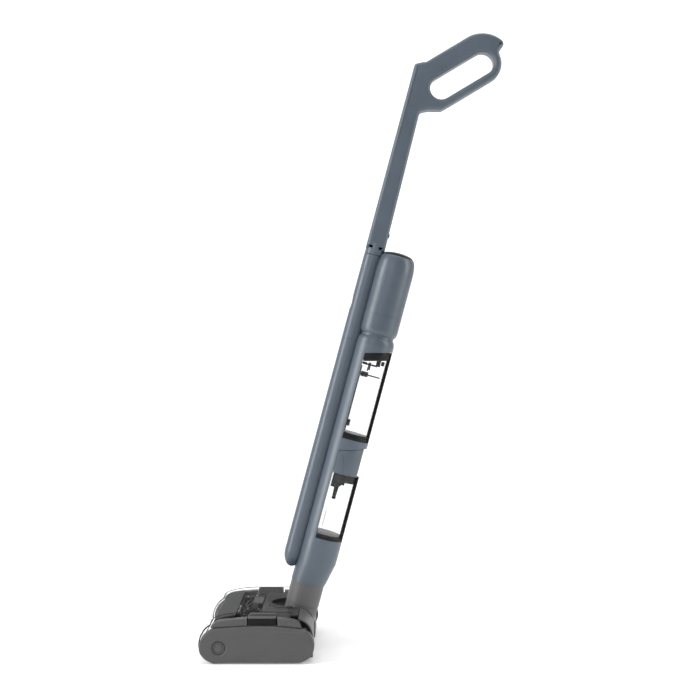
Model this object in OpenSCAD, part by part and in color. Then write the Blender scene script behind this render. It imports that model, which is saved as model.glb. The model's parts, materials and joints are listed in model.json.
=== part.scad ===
/* [Stance] */
// Angle the body leans back from vertical when parked
lean = 15; // [8:1:20]
// Height of the lean pivot above the floor
pivot_z = 48; // [44:1:52]

/* [Floor head] */
// Width of the head across its side covers
head_w = 250; // [200:1:300]
// Distance from the roller axis back to the lean pivot
wheelbase = 129.2; // [115:1:155]
// Radius of the roller over its pile
roller_r = 27.1; // [24:0.1:30]
// Height of the side covers
cover_h = 64.5; // [60:0.5:70]
// Thickness of each side cover
cover_t = 14; // [11:0.5:17]
// Height of the clear top cover above the floor
dome_h = 85; // [82:0.5:92]
// Thickness of clear and moulded head walls
head_wall = 2.5; // [1.8:0.1:3]
// Radius of the rear wheels
wheel_r = 12; // [10:0.5:13]

/* [Body] */
// Diameter of the body frame, tanks and motor can
frame_d = 70.2; // [60:0.2:85]
// Wall thickness of the body shells
wall = 2; // [1.4:0.1:2.6]
// Diameter of the neck
neck_d = 59.6; // [54:0.2:62]
// Diameter of the battery tube in front of the body
tube_d = 34; // [29:0.5:38]
// Height of the clean tank window above the pivot
clean_u = 155.7; // [140:0.1:170]
// Height of the clean tank from its base to its cap
clean_h = 119.5; // [95:0.5:145]
// Height of the dirty tank window
dirty_h = 159; // [130:1:190]
// Length of the motor can
can_h = 148; // [125:1:178]
// Front face of both tanks behind the body axis
tank_front = -13.6; // [-18:0.1:-11]

/* [Handle] */
// Height of the grip slot's lower end above the motor can
grip_rise = 312; // [250:1:360]
// Length of the grip slot
slot_l = 126; // [105:1:150]
// Height of the grip slot
slot_w = 40.4; // [34:0.2:44]
// Angle of the grip above square to the pole
grip_angle = 46; // [40:1:50]
// Thickness of the bar over the hand
bar_top = 34; // [28:0.5:40]
// Thickness of the bar under the hand
bar_low = 14.2; // [11:0.2:17]
// Width of the handle from side to side
handle_w = 32; // [27:0.5:38]

/* [Fits] */
// Radial clearance of turning fits
run_fit = 0.06; // [0.02:0.01:0.1]
// Gap between pieces that slide past each other
slide_gap = 0.4; // [0.3:0.05:0.6]

/* [Hidden] */
$fn = 96;

blue = "#56606c";
grey = "#646464";
dark = "#2b2d30";
clear = "#e8eef2";

// Body stations along the neck axis, counted from the pivot
frame_r = frame_d / 2;
neck_v = -(frame_d - neck_d) / 2 + 0.1;
tube_v = -frame_r - 8.4;
tube_r = tube_d / 2;
tube_low_u = clean_u / 2 + 40;
scallop_t = 1.2;
swivel_u = 31.5;
boot_u = 70;
boot_full_u = 112.5;
cap_split_u = clean_u + clean_h + 44.3;
divider_u = cap_split_u + 19.3;
dirty_top_u = divider_u + dirty_h;
shoulder_u = dirty_top_u + 14.3;
waist_u = shoulder_u + 16;
can_u = waist_u + can_h;
slot_u = can_u + grip_rise;
tan_lean = tan(lean);
waist_r = frame_r - 4.7;

// Tanks, with the thickness of their dark lids and bases
tank_r = frame_r - 0.3;
lid_t = 12.6;
dirty_base_t = 11;
clean_base_t = 6;
clean_top_u = clean_u + clean_h;
rail_t = 5.2;
pickup_r = 5;

// Suction motor on its own axis behind the body axis, and the battery's cells
motor_v = 3.5;
motor_u = waist_u + 40;
cell_l = 70;
cell_r = 10.6;

// Upper pole, front face to rear face
pole_front = tube_v - tube_r;
pole_w = 30;
pole_low_v = -frame_r + 9.4;
pole_top_v = pole_front + 30.4;
loop_low_u = slot_u - 52.4;
key_u = can_u + 32;
key_r = 3.6;

// Floor head stations, with y = 0 at the pivot
roller_y = -wheelbase;
roller_z = roller_r;
inner_x = head_w / 2 - cover_t - 2;
cover_x = head_w / 2 - cover_t;
cover_front_r = roller_r + 7;
cover_rear_r = 29.5;
cover_rear_y = 3.8;
cover_low = 2;
visor_r = roller_r + 14;
lip_r = roller_r + 9.7;
deck_z = dome_h - 10;
neck_gap = neck_d / 2 + 3.2;
ear_in = neck_d / 2 + 1.2;
ear_t = 8;
wheel_y = 18;
wheel_x = 84;
latch_y = -80;
latch_l = 48;
button_r = 10.6;
screw_x = 36;
screw_y = -86;

// Roller drive: motor behind the roller, belt outside the right wall
motor_y = -44;
motor_z = 36;
belt_run = norm([motor_y - roller_y, motor_z - roller_z]);
belt_tilt = atan2(motor_z - roller_z, motor_y - roller_y);
pulley_big = 14;
pulley_small = 7;
belt_x = -cover_x - 4.5;

// Grip frame: a runs along the slot and b square to it, towards the top bar
slot_r = slot_w / 2;
slot_run = slot_l - slot_w;
near_v = -3.4;
loop_r = slot_r + bar_low;
crown_r = slot_r + bar_top;
notch_t = 3.4;
notch_a0 = 9;
notch_a1 = 14;
far_v = near_v + slot_run * cos(grip_angle);
far_u = slot_u + slot_run * sin(grip_angle);
tip_reach = max(loop_r, (crown_r - notch_t) * cos(notch_a0 + grip_angle - lean));
tip_y = (far_v - neck_v) * cos(lean) + far_u * sin(lean) + tip_reach;
lip_y = roller_y - lip_r;
origin_y = -(tip_y + lip_y) / 2;

// Points on an arc about c from angle a0 to a1
function arc(c, r, a0, a1, n = 24) =
    [for (i = [0:n]) c + r * [cos(a0 + (a1 - a0) * i / n), sin(a0 + (a1 - a0) * i / n)]];
function ellipse(c, rx, ry, a0, a1, n = 24) =
    [for (i = [0:n]) c + [rx * cos(a0 + (a1 - a0) * i / n), ry * sin(a0 + (a1 - a0) * i / n)]];

module on_head() {
    translate([0, origin_y, 0]) children();
}

module on_body() {
    translate([0, origin_y, pivot_z]) rotate([-lean, 0, 0]) translate([0, -neck_v, 0]) children();
}

module on_side(s) {
    on_head() if (s > 0) children(); else mirror([1, 0, 0]) children();
}

// Extrudes a side outline drawn in (y, z) across x0 to x1
module across(x0, x1) {
    translate([x0, 0, 0]) rotate([90, 0, 90]) linear_extrude(x1 - x0) children();
}

module rod_x(r, x0, x1) {
    translate([x0, 0, 0]) rotate([0, 90, 0]) cylinder(r = r, h = x1 - x0);
}

module at_roller() {
    translate([0, roller_y, roller_z]) children();
}

module box(low, high) {
    translate(low) cube(high - low);
}

// --- Floor head outlines ---
module cover_outline(inset = 0) {
    c = [roller_y, roller_z];
    rear = [cover_rear_y, cover_low + cover_rear_r];
    rf = cover_front_r - inset;
    rr = cover_rear_r - inset;
    crown = [-53, cover_h - inset];
    polygon(concat(
        ellipse(c, rf, roller_r - inset - 0.02, 180, 262),
        [[roller_y + 13, cover_low + inset]],
        arc(rear, rr, -90, 78),
        [[(rear[0] + crown[0]) / 2, crown[1] - 1.1], crown,
            [(roller_y + crown[0]) / 2, crown[1] - 0.8]],
        arc(c, rf, 90, 180)));
}

module rail_outline() {
    difference() {
        polygon([[roller_y - 8, cover_h - 12], [roller_y - 11, cover_h - 3],
            [roller_y - 4, cover_h + 8.3], [-98, cover_h + 11.8], [-76, cover_h + 13.2],
            [-53, cover_h + 13.6], [-30, cover_h + 12.8], [-12, cover_h + 11],
            [2.7, cover_h + 8.3], [9, cover_h + 2], [12, cover_h - 12]]);
        cover_outline(-0.4);
    }
}

// Floor plate, inner end walls, bearing ears for the neck and the walls behind the roller
module chassis() {
    color(grey) on_head() difference() {
        union() {
            box([-inner_x, roller_y + 34, 4], [inner_x, 4, 7]);
            for (s = [-1, 1]) {
                across(s > 0 ? inner_x - 3 : -inner_x, s > 0 ? inner_x : 3 - inner_x)
                    cover_outline(3.5);
                across(s > 0 ? ear_in : -ear_in - ear_t, s > 0 ? ear_in + ear_t : -ear_in) {
                    polygon([[-26, 4], [-24, 22], [-17, pivot_z], [17, pivot_z],
                        [27, 22], [27, 14], [22, 4]]);
                    translate([0, pivot_z]) circle(r = 17);
                }
                across(s > 0 ? ear_in : -inner_x, s > 0 ? inner_x : -ear_in)
                    back_wall();
            }
            across(-inner_x, inner_x) bay_wall();
        }
        translate([0, 0, pivot_z]) rod_x(8 + run_fit, -60, 60);
        at_roller() rod_x(7 + run_fit, -inner_x - 1, inner_x + 1);
        for (x = [-screw_x, screw_x]) translate([x, screw_y, 3]) cylinder(r = 2.5, h = 90);
        translate([0, motor_y, motor_z]) rod_x(3, -inner_x - 1, 0);
        for (s = [-1, 1]) translate([s * wheel_x, wheel_y, 0])
            box([-9, -wheel_r - 2, -1], [9, wheel_r + 2, 2 * wheel_r + 2]);
        box([-14, roller_y + 25, 18], [14, roller_y + 45, 44]);
    }
}

// Upright back wall, rolling forward over the wheels to meet the deck
module back_wall() {
    polygon(concat([[27.5, 8], [30, 8]], arc([0, deck_z - 30], 30, 0, 80),
        arc([0, deck_z - 30], 27.5, 80, 0)));
}

// Curved wall behind the roller
module bay_wall() {
    translate([roller_y, roller_z]) difference() {
        circle(r = roller_r + 7.4);
        circle(r = roller_r + 4.9);
        polygon([[0, -60], [28, -60], [28, -22], [18, 60], [-60, 60], [-60, -60]]);
    }
}

// Hollow cover on one end of the head; the left one has the release button's hole
module side_cover(s) {
    color(grey) on_side(s) difference() {
        union() {
            across(cover_x, head_w / 2 - 1.5) cover_outline();
            across(head_w / 2 - 1.5, head_w / 2) cover_outline(1.5);
        }
        across(cover_x - 1, head_w / 2 - head_wall - 1) cover_outline(head_wall);
        if (s > 0) at_roller() rod_x(button_r + slide_gap, cover_x - 1, head_w / 2 + 1);
    }
}

// Top rail of one end, in two lengths with the latch between them
module side_rail(s) {
    color(grey) on_side(s) difference() {
        across(cover_x - 4, head_w / 2 - 2) rail_outline();
        across(cover_x - 5, head_w / 2) polygon([[latch_y - slide_gap, cover_h - 3],
            [latch_y - slide_gap, dome_h], [latch_y + latch_l + slide_gap, dome_h],
            [latch_y + latch_l + slide_gap, cover_h - 3]]);
    }
}

// Top line of the clear cover in (y, z), lowered by inset
function dome_line(inset) = [for (p = [[-13, -13], [-9, -9.6], [0, -6.4], [11, -3.6], [24, -1.6], [46, 0]])
    [roller_y + p[0] + inset * 0.6, dome_h + p[1] - inset]];

// Panel seen through the clear cover, behind the roller's top
module roller_shroud() {
    gap = head_wall + 1.5;
    color(grey) on_head() across(7.4 - cover_x, cover_x - 7.4) difference() {
        shroud_outline(gap, roller_r + 9);
        shroud_outline(gap + 2.4, roller_r + 11.4);
    }
}

// Panel over the back of the roller, between the dome line and a circle about the roller axis
module shroud_outline(inset, r) {
    c = [roller_y, roller_z];
    polygon(concat([for (i = [0:4]) dome_line(inset)[i]],
        arc(c, r, 55, 112)));
}

module top_deck() {
    color(grey) on_head() difference() {
        box([-inner_x + 2.5, -62, deck_z - head_wall], [inner_x - 2.5, 4, deck_z]);
        for (s = [-1, 1]) translate([s * cover_x, 0, deck_z])
            box([-12.5, -63, -9], [12.5, latch_y + latch_l + 1, 9]);
        translate([0, 0, deck_z - 10]) linear_extrude(20) collar_hole(0.2);
        box([-inner_x, -10, deck_z - 10], [-inner_x + 22, 10, deck_z + 9]);
        box([inner_x - 22, -10, deck_z - 10], [inner_x, 10, deck_z + 9]);
    }
}

// U-shaped opening that the neck swings through
module collar_hole(grow = 0) {
    polygon(concat(
        [[neck_gap + 4 + grow, 40]],
        ellipse([0, -14], neck_gap + 4 + grow, 36 + grow, 0, -180),
        [[-neck_gap - 4 - grow, 40]]));
}

// Raised rim round the neck opening
module neck_collar() {
    color(grey) on_head() intersection() {
        difference() {
            translate([0, 0, deck_z - 9]) linear_extrude(13.5) collar_hole();
            translate([0, 0, deck_z - 10]) linear_extrude(20) collar_hole(-2.6);
        }
        box([-60, -60, 0], [60, -8, 100]);
    }
}

module drive_block() {
    color("#808080") on_head() difference() {
        union() {
            box([-60, -82, 40], [-6, -64, deck_z + 1]);
            box([0, -95, 40], [70, -66, deck_z - 8]);
        }
        box([-58, -80, 39], [-8, -66, deck_z - 1]);
        box([2, -93, 39], [68, -68, deck_z - 10]);
    }
}

module roller_motor() {
    color("silver") on_head() translate([0, motor_y, motor_z]) {
        rod_x(17, -inner_x + 8, -inner_x + 70);
        rod_x(7, -inner_x + 3.2, -inner_x + 8);
        rod_x(2.5, -cover_x - 8, -inner_x + 8);
    }
}

module drive_belt() {
    color(dark) on_head() at_roller() rotate([belt_tilt, 0, 0])
        across(belt_x - 2.5, belt_x + 2.5) difference() {
            belt_loop(1.6);
            belt_loop(0.3);
        }
}

module belt_loop(grow) {
    polygon(concat(arc([0, 0], pulley_big + grow, 90, 270),
        arc([belt_run, 0], pulley_small + grow, -90, 90)));
}

module pulley(r, bore) {
    rotate([0, 90, 0]) difference() {
        cylinder(r = r, h = 7, center = true);
        cylinder(r = bore, h = 9, center = true);
    }
}

module roller_pulley() {
    color("silver") on_head() at_roller() translate([belt_x, 0, 0]) pulley(pulley_big, 4);
}

module motor_pulley() {
    color("silver") on_head() translate([belt_x, motor_y, motor_z])
        pulley(pulley_small, 2.5 + run_fit);
}

// Steel ballast over the floor plate
module base_weight() {
    color("dimgray") on_head() difference() {
        union() {
            box([-inner_x + 4, roller_y + 37, 7], [inner_x - 4, -28, 16]);
            box([-inner_x + 4, roller_y + 37, 7], [inner_x - 4, motor_y - 19, 24]);
        }
        for (x = [-screw_x, screw_x]) translate([x, screw_y, 0]) cylinder(r = 2.6, h = 40);
    }
}

module squeegee() {
    color(dark) on_head() {
        box([-inner_x + 4, roller_y + 31, 0], [inner_x - 4, roller_y + 33.6, 9]);
        box([-inner_x + 4, roller_y + 31, 0.6], [inner_x - 4, roller_y + 39, 3.8]);
    }
}

module scraper() {
    color("silver") on_head() at_roller() rotate([38, 0, 0])
        box([-inner_x + 4, roller_r + 0.3, -1], [inner_x - 4, roller_r + 4.7, 1]);
}

module spray_bar() {
    color(dark) on_head() translate([0, roller_y + 9, roller_z + 41.6])
        difference() {
            rod_x(3, -inner_x + 6, inner_x - 6);
            for (x = [-90:20:90]) translate([x, 0, -4]) cylinder(r = 0.8, h = 4);
        }
}

module wheel_axles() {
    color("silver") on_head() for (s = [-1, 1]) translate([s * wheel_x, wheel_y, wheel_r])
        rod_x(2.5, -12, 12);
}

// Tread with a recess in each face and a running bore
module rear_wheel(s) {
    color(dark) on_head() translate([s * wheel_x, wheel_y, wheel_r]) rotate([0, 90, 0])
        difference() {
            rotate_extrude() polygon([[0, -7], [wheel_r - 1.5, -7], [wheel_r, -5.5],
                [wheel_r, 5.5], [wheel_r - 1.5, 7], [0, 7]]);
            cylinder(r = 2.5 + run_fit, h = 20, center = true);
            for (z = [-9, 5]) translate([0, 0, z]) difference() {
                cylinder(r = wheel_r - 3.5, h = 4);
                translate([0, 0, -1]) cylinder(r = 4.5, h = 6);
            }
        }
}

module base_screws() {
    color("silver") on_head() for (x = [-screw_x, screw_x]) translate([x, screw_y, 4.2]) {
        cylinder(r = 2.4, h = 11);
    }
}

module roller_core() {
    color(dark) on_head() at_roller() difference() {
        union() {
            rod_x(roller_r - 7, -inner_x + 4.5, inner_x - 4.5);
            rod_x(7, -inner_x - 0.5, inner_x + 0.5);
            rod_x(4, belt_x - 4, 0);
        }
        rod_x(roller_r - 10, -inner_x + 8, inner_x - 8);
    }
}

module roller_sleeve() {
    color("#7d8084") on_head() at_roller() difference() {
        rod_x(roller_r, -inner_x + 5, inner_x - 5);
        rod_x(roller_r - 7, -inner_x + 4, inner_x - 4);
    }
}

module roller_release_button() {
    color(grey) on_head() at_roller() difference() {
        union() {
            rod_x(button_r, head_w / 2 - 6, head_w / 2);
            rod_x(button_r + 1.8, head_w / 2 - 8, head_w / 2 - 6);
        }
        rotate([0, 90, 0]) translate([0, 0, head_w / 2 - 1]) difference() {
            cylinder(r = 8.4, h = 2);
            translate([0, 0, -1]) cylinder(r = 6.8, h = 4);
        }
    }
}

// Section of the clear cover in (y, z): visor, domed top and rear step
module cover_profile() {
    c = [roller_y, roller_z];
    lip = [roller_y - lip_r, roller_z - 2.8];
    polygon(concat([lip], ellipse(c, lip_r, visor_r, 180, 112, 16), dome_line(0),
        [[-14, dome_h], [-3, dome_h - 4], [-1, deck_z + 2], [-16, deck_z + 2],
            [-60, cover_h + 16], [roller_y + 14, cover_h + 12], [roller_y - 3, cover_h + 10],
            [roller_y - 10, cover_h + 2]],
        ellipse(c, lip_r - 2.4, visor_r - 2.4, 112, 180, 16), [lip + [2.4, 0]]));
}

module clear_cover() {
    color(clear, 0.35) on_head() difference() {
        across(-cover_x + 4.5, cover_x - 4.5) cover_profile();
        across(-cover_x + 7, cover_x - 7) cover_cavity();
        box([-neck_gap, -54, 40], [neck_gap, 40, 120]);
        for (s = [-1, 1]) translate([s * cover_x, 0, 0])
            box([-11, latch_y - 1, 50], [11, latch_y + latch_l + 1, 120]);
    }
}

module cover_cavity() {
    polygon(concat([[roller_y - 14, cover_h - 10]], dome_line(head_wall),
        [[-14, dome_h - head_wall], [-6, dome_h - 6.5], [-4, cover_h - 10]]));
}

module cover_latch(s) {
    color(dark) on_side(s) difference() {
        union() {
            across(cover_x - 8, cover_x + 2) polygon([[latch_y, cover_h + 1],
                [latch_y, dome_h - 5], [latch_y + 4, dome_h - 1],
                [latch_y + latch_l - 4, dome_h - 1], [latch_y + latch_l, dome_h - 5],
                [latch_y + latch_l, cover_h + 1]]);
            box([cover_x + 2, latch_y + 0.2, cover_h + 1],
                [head_w / 2 - 2.6, latch_y + latch_l - 0.2, cover_h + 12]);
        }
        box([cover_x - 6, latch_y + 2, cover_h], [cover_x, latch_y + latch_l - 2, dome_h - 4]);
    }
}

// --- Neck ---
module neck_knuckle() {
    color(grey) on_body() difference() {
        union() {
            translate([0, neck_v, 0]) rod_x(neck_d / 2 - 0.2, -neck_d / 2 + 1, neck_d / 2 - 1);
            translate([0, neck_v, 0]) rod_x(8, -ear_in - ear_t, ear_in + ear_t);
            translate([0, neck_v, 0]) cylinder(r = neck_d / 2 - 0.4, h = swivel_u);
            translate([0, neck_v, 0]) cylinder(r = 20, h = swivel_u + 12);
        }
        translate([0, neck_v, 4]) cylinder(r = 14, h = 60);
        translate([0, neck_v, 0]) rotate([-40, 0, 0]) translate([0, 0, -60])
            cylinder(r = 14, h = 62);
    }
}

module neck_tube() {
    color("#707070") on_body() translate([0, neck_v, 0]) difference() {
        translate([0, 0, swivel_u + 0.4]) cylinder(r = neck_d / 2, h = boot_u - swivel_u + 14);
        translate([0, 0, swivel_u - 1]) cylinder(r = 20 + run_fit, h = 13.6);
        translate([0, 0, swivel_u + 14]) cylinder(r = neck_d / 2 - wall, h = 80);
        translate([0, 0, swivel_u]) cylinder(r = 14, h = 40);
    }
}

// --- Body shells ---
// Space taken by the battery tube, with a rounded lower end
module tube_space(grow = 0.15) {
    translate([0, tube_v, tube_low_u]) {
        cylinder(r = tube_r + grow, h = can_u);
        scale([1, 1, 1.66]) sphere(r = tube_r + grow);
    }
}

// Round neck growing into the body's own round
module boot_form(inset) {
    hull() {
        translate([0, neck_v, boot_u]) cylinder(r = neck_d / 2 + 1 - inset, h = 0.5);
        translate([0, 0, boot_full_u]) cylinder(r = frame_r - inset, h = 0.5);
    }
    translate([0, 0, boot_full_u]) cylinder(r = frame_r - inset, h = clean_u - boot_full_u);
}

module boot() {
    color(blue) on_body() difference() {
        boot_form(0);
        intersection() {
            boot_form(wall);
            box([-60, -60, boot_u + 16], [60, 60, clean_u - 2.5]);
        }
        translate([0, neck_v, boot_u - 1]) cylinder(r = neck_d / 2, h = 15.4);
        translate([0, neck_v, boot_u - 1]) cylinder(r = neck_d / 2 - wall - 2, h = 30);
        tube_space();
    }
}

// Front part of the body's round, ahead of the tanks and behind the tube
module spine_plan(inset) {
    difference() {
        circle(r = frame_r - inset);
        translate([-60, tank_front - 0.01 - inset]) square([120, 120]);
        translate([0, tube_v]) circle(r = tube_r + 0.15 + inset);
    }
}

module spine() {
    color(blue) on_body() difference() {
        translate([0, 0, clean_u]) linear_extrude(dirty_top_u - clean_u - 7) spine_plan(0);
        translate([0, 0, clean_u + 4]) linear_extrude(dirty_top_u - clean_u - 15)
            spine_plan(wall);
    }
}

// Everything above a plane that is level when the body is parked, at height u on the axis
module above_level(u) {
    across(-60, 60) polygon([[-60, u - 60 * tan_lean], [60, u + 60 * tan_lean],
        [60, u + 400], [-60, u + 400]]);
}

module rear_of(v) {
    box([-60, v, 0], [60, 60, 1200]);
}

module tank_divider() {
    color(blue) on_body() difference() {
        intersection() {
            translate([0, 0, cap_split_u - 20]) cylinder(r = frame_r, h = 20 + divider_u
                - cap_split_u);
            rear_of(tank_front);
            above_level(cap_split_u);
        }
        intersection() {
            translate([0, 0, cap_split_u]) cylinder(r = frame_r - wall, h = divider_u
                - cap_split_u - wall);
            rear_of(tank_front + wall);
            above_level(cap_split_u + wall);
        }
    }
}

module shoulder() {
    color(blue) on_body() difference() {
        union() {
            intersection() {
                translate([0, 0, dirty_top_u - 14]) cylinder(r = frame_r, h = shoulder_u
                    - dirty_top_u + 14);
                rear_of(tank_front);
                above_level(dirty_top_u);
            }
            translate([0, 0, dirty_top_u - 7]) linear_extrude(shoulder_u - dirty_top_u + 7)
                spine_plan(0);
            translate([0, 0, shoulder_u]) rotate_extrude() polygon(concat([[0, 0]],
                ellipse([waist_r - 0.3, 0], frame_r - waist_r + 0.3, 14, 0, 80),
                [[waist_r, 16], [0, 16]]));
        }
        translate([0, 0, shoulder_u - 4]) cylinder(r = 22, h = 24);
        tube_space();
    }
}

module lower_tube() {
    color(blue) on_body() difference() {
        tube_space(0);
        translate([0, tube_v, tube_low_u]) cylinder(r = tube_r - wall, h = can_u);
        translate([0, 0, can_u - 9]) cylinder(r = 200, h = can_u);
        translate([0, tube_v - tube_r - 60, waist_u + 47]) rod_x(60 + scallop_t, -40, 40);
    }
}

module battery_cells() {
    color("#3f7fae") on_body() for (i = [0:5])
        translate([0, tube_v, tube_low_u + 2 + i * (cell_l + 0.5)])
            cylinder(r = cell_r, h = cell_l);
}

// Half section of the motor can
module can_profile(inset) {
    rim = frame_r - 7.6 - inset;
    top = can_h;
    polygon(concat([[0, inset], [waist_r - inset, inset], [waist_r - inset, 3]],
        ellipse([waist_r, 16], frame_r - waist_r - inset, 13, -80, 0, 10),
        ellipse([rim, top - 31], frame_r - inset - rim, 31 - inset, 0, 90, 20),
        [[0, top - inset]]));
}

module can_shell() {
    color(blue) on_body() difference() {
        translate([0, 0, waist_u]) rotate_extrude() can_profile(0);
        difference() {
            translate([0, 0, waist_u]) rotate_extrude() can_profile(wall);
            tube_space(0.15 + wall);
        }
        translate([0, 0, waist_u - 1]) cylinder(r = 22, h = 5);
        translate([0, 0, can_u - 4]) cylinder(r = frame_r - 11, h = 5);
        tube_space();
    }
}

module can_cap() {
    color(dark) on_body() translate([0, 0, can_u]) difference() {
        union() {
            rotate_extrude() polygon(concat([[0, 0]],
                ellipse([0, 0], frame_r - 7.6, 7, 0, 90)));
            translate([0, 0, -5]) cylinder(r = frame_r - 11.2, h = 5);
        }
        translate([0, 0, -6]) cylinder(r = frame_r - 14, h = 8);
        for (a = [0:30:330]) rotate([0, 0, a]) box([12, -1.5, -2], [19, 1.5, 9]);
        translate([0, tube_v, -10]) cylinder(r = tube_r + 1.4, h = 30);
    }
}

module suction_motor() {
    color("silver") on_body() {
        translate([0, motor_v, motor_u]) cylinder(r = 24, h = 8);
        translate([0, motor_v, motor_u + 8]) cylinder(r = 20, h = 44);
        translate([0, motor_v, motor_u - 16]) cylinder(r = 3, h = 16.5);
        for (a = [-60, 60]) translate([0, motor_v, motor_u]) rotate([0, 0, a])
            box([18, -3, 0], [27.6, 3, 5]);
    }
}

module impeller() {
    color("#b0b4b8") on_body() translate([0, motor_v, motor_u - 14]) difference() {
        union() {
            cylinder(r = 22, h = 1.6);
            cylinder(r = 6, h = 11);
            for (a = [0:40:320]) rotate([0, 0, a]) box([5, -0.7, 0], [21, 0.7, 9]);
        }
        translate([0, 0, -1]) cylinder(r = 3 + run_fit, h = 20);
    }
}

module control_board() {
    color("seagreen") on_body() box([-24, tank_front - 7.6, clean_u + 30],
        [13.5, tank_front - 6, clean_u + 110]);
}

module water_pump() {
    color(dark) on_body() translate([0, 4, boot_full_u]) {
        cylinder(r = 14, h = 26);
        translate([0, 0, 26]) cylinder(r = 4, h = clean_u - boot_full_u - 28.5);
    }
}

module dirty_pipe() {
    color(dark) on_body() translate([19, tank_front - 7.4, clean_u + 4]) difference() {
        cylinder(r = 4.6, h = divider_u - clean_u - 8);
        translate([0, 0, -1]) cylinder(r = 3.4, h = 400);
    }
}

// --- Upper pole and handle ---
// Thin slice of the pole at height u
module pole_slab(rear, u, inset) {
    translate([0, 0, u]) linear_extrude(0.5) translate([0, (pole_front + rear) / 2])
        rounded(pole_w - 2 * inset, rear - pole_front - 2 * inset, 7 - inset);
}

module pole_form(inset) {
    hull() {
        pole_slab(pole_low_v, can_u + 7.8 + 2 * inset, inset);
        pole_slab(pole_top_v, loop_low_u - 0.5 - inset, inset);
    }
}

// Rectangle w by h about the centre, with rounded corners
module rounded(w, h, r) {
    translate([r - w / 2, -h / 2]) square([w - 2 * r, h]);
    translate([-w / 2, r - h / 2]) square([w, h - 2 * r]);
    for (x = [-1, 1], y = [-1, 1]) translate([x * (w / 2 - r), y * (h / 2 - r)]) circle(r = r);
}

module pole_upper() {
    color(blue) on_body() difference() {
        union() {
            pole_form(0);
            translate([0, tube_v, can_u - 8.6]) cylinder(r = tube_r - 0.2, h = 18);
            translate([0, tube_v, can_u - 58]) cylinder(r = tube_r - wall - 0.06, h = 60);
        }
        pole_form(wall);
        translate([0, tube_v, can_u - 59]) cylinder(r = tube_r - 2 * wall - 1, h = 80);
        translate([0, pole_low_v - 6, key_u]) rotate([-90, 0, 0])
            cylinder(r = key_r + 0.6, h = 20);
    }
}

module pole_release_button() {
    color(dark) on_body() translate([0, pole_low_v - 5.5, key_u]) rotate([-90, 0, 0]) {
        cylinder(r = key_r, h = 6.6);
    }
}

// Loop outline in the body plane (v, u)
module grip_plan(inset) {
    difference() {
        union() {
            translate([near_v, slot_u]) rotate(grip_angle) {
                polygon(concat(
                    arc([slot_run, 0], loop_r - inset, -90, 0),
                    arc([slot_run, 0], crown_r - notch_t - inset, notch_a0, notch_a1, 3),
                    arc([slot_run, 0], crown_r - inset, 24, 90),
                    [[0, crown_r - inset], [-30, 10], [-30, 0],
                        [-30, -loop_r + 7.5 + inset], [-14, -loop_r + 0.8 + inset],
                        [0, -loop_r + inset]]));
            }
            polygon([[pole_front + inset, loop_low_u], [pole_top_v - inset, loop_low_u],
                [pole_top_v + 3 - inset, slot_u - 49.4 + inset],
                [pole_top_v + 8, slot_u - 46 + inset], [pole_top_v + 14, slot_u - 43.4 + inset],
                [near_v, slot_u - 39.8 + inset], [near_v + 10, slot_u - 36 + inset],
                [near_v + 10, slot_u], [near_v - crown_r * sin(grip_angle) + inset * 0.7,
                    slot_u + crown_r * cos(grip_angle) - inset * 0.7],
                [pole_front + 19, slot_u + 39.2 - inset], [pole_front + 12.6, slot_u + 36 - inset],
                [pole_front + 6 + inset, slot_u + 33.5 - inset],
                [pole_front + 2 + inset, slot_u + 31 - inset],
                [pole_front + inset, slot_u + 27 - inset]]);
        }
        translate([near_v, slot_u]) rotate(grip_angle) {
            circle(r = slot_r + inset);
            translate([slot_run, 0]) circle(r = slot_r + inset);
            translate([0, -slot_r - inset]) square([slot_run, 2 * slot_r + 2 * inset]);
        }
    }
}

// Places things drawn in the grip frame
module grip_frame() {
    translate([0, near_v, slot_u]) rotate([grip_angle, 0, 0]) children();
}

module handle_loop() {
    color(blue) on_body() difference() {
        union() {
            across(-handle_w / 2 + 3, handle_w / 2 - 3) grip_plan(0);
            across(-handle_w / 2 + 1.2, handle_w / 2 - 1.2) grip_plan(1.2);
            across(-handle_w / 2, handle_w / 2) grip_plan(3);
        }
        across(wall - handle_w / 2 + 0.4, handle_w / 2 - wall - 0.4)
            offset(delta = -wall - 0.4) grip_plan(0);
        grip_frame() box([-9.2, -10, crown_r - 4], [9.2, 62, crown_r + 3]);
    }
}

module display_panel() {
    color(dark) on_body() grip_frame() difference() {
        box([-9, -9.8, crown_r - 4], [9, 61.8, crown_r - 0.4]);
        for (y = [8, 34]) translate([0, y, crown_r - 5]) cylinder(r = 6.4, h = 6);
    }
}

// Round key in the panel, y along the bar
module panel_button(y) {
    color(grey) on_body() grip_frame() translate([0, y, crown_r - 2.8])
        cylinder(r = 6, h = 2.8);
}

// --- Dirty water tank ---
// Outside of the dirty tank below its lid, drawn in by inset
module dirty_form(inset) {
    difference() {
        intersection() {
            translate([0, 0, divider_u + slide_gap]) cylinder(r = tank_r - inset, h = dirty_h + 20);
            rear_of(tank_front + slide_gap + inset);
            box([-60, -60, 0], [60, frame_r - rail_t - inset, 1200]);
        }
        above_level(dirty_top_u - lid_t - slide_gap);
    }
}

module dirty_tank_shell() {
    color(clear, 0.3) on_body() difference() {
        dirty_form(0);
        intersection() {
            dirty_form(1.8);
            box([-60, -60, divider_u + dirty_base_t], [60, 60, 1200]);
        }
        intersection() {
            cylinder(r = tank_r - 4, h = 1200);
            rear_of(tank_front + 4);
            box([-60, -60, dirty_top_u - 45], [60, 24, 1200]);
        }
        box([-60, -60, 0], [60, 60, divider_u + dirty_base_t]);
    }
}

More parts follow.
